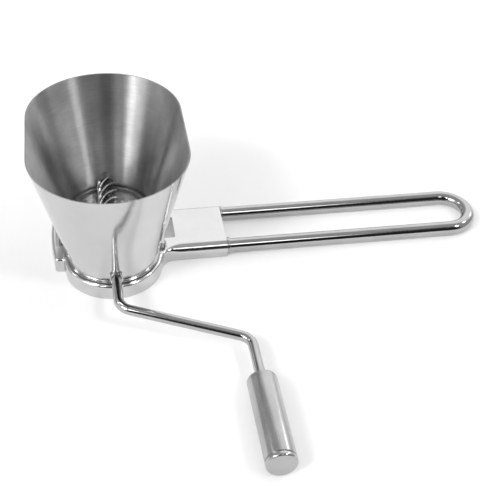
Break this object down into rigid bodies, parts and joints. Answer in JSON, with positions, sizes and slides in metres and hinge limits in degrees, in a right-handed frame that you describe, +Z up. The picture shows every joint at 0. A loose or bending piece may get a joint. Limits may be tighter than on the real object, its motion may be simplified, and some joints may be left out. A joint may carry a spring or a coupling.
{
  "type": "rotary potato ricer",
  "caption": "Hand-cranked steel ricer: an oblong hopper tips up from a pressed frame, a worm turns over a perforated plate, and a looped rod is the handle.",
  "frame": {"origin": "centre of the base frame, on the plane it stands on", "axes": "+X along the handle away from the hopper, -Y towards the crank, +Z up out of the hopper"},
  "size_m": [0.309, 0.2825, 0.0912],
  "materials": {
    "pressed_steel": "polished",
    "hopper_steel": "polished outside, brushed inside",
    "rod_steel": "polished",
    "grip_steel": "satin",
    "cap_steel": "polished",
    "worm_steel": "satin",
    "plate_steel": "satin",
    "bearing_steel": "satin",
    "liner_plastic": "matte"
  },
  "bodies": {
    "base": {"base_frame": "pressed_steel", "handle_loop": "rod_steel", "rod_collars": "rod_steel"},
    "plate": {"perforated_plate": "plate_steel"},
    "hopper_body": {"hopper": "hopper_steel", "hinge_hook_front": "pressed_steel", "hinge_hook_back": "pressed_steel", "catch_tongue": "pressed_steel", "front_bush": "bearing_steel", "thrust_washer": "bearing_steel", "rear_socket": "bearing_steel"},
    "crank": {"crank_rod": "rod_steel", "worm_core": "worm_steel", "worm_flight": "worm_steel", "worm_pin": "bearing_steel", "spindle_clip": "bearing_steel"},
    "grip": {"grip_tube": "grip_steel", "grip_shoulder": "cap_steel", "grip_end_cap": "cap_steel", "grip_liner": "liner_plastic", "spindle_washer": "bearing_steel"}
  },
  "joints": [
    {"name": "hopper_tip", "type": "hinge", "parent": "base", "child": "hopper_body", "pos_m": [0.0352, 0, 0.01], "axis": [0, 1, 0], "range_deg": [0, 60]},
    {"name": "plate_lift", "type": "hinge", "parent": "base", "child": "plate", "pos_m": [0.0352, 0, 0.01], "axis": [0, 1, 0], "range_deg": [0, 30]},
    {"name": "crank_turn", "type": "hinge", "parent": "hopper_body", "child": "crank", "pos_m": [0, -0.06, 0.0172], "axis": [0, -1, 0], "continuous": true},
    {"name": "grip_spin", "type": "hinge", "parent": "crank", "child": "grip", "pos_m": [0.07808, -0.17, 0.0091], "axis": [0, -1, 0], "continuous": true}
  ],
  "couplings": [
    {"joint": "plate_lift", "follows": "hopper_tip", "ratio": 0.5}
  ]
}
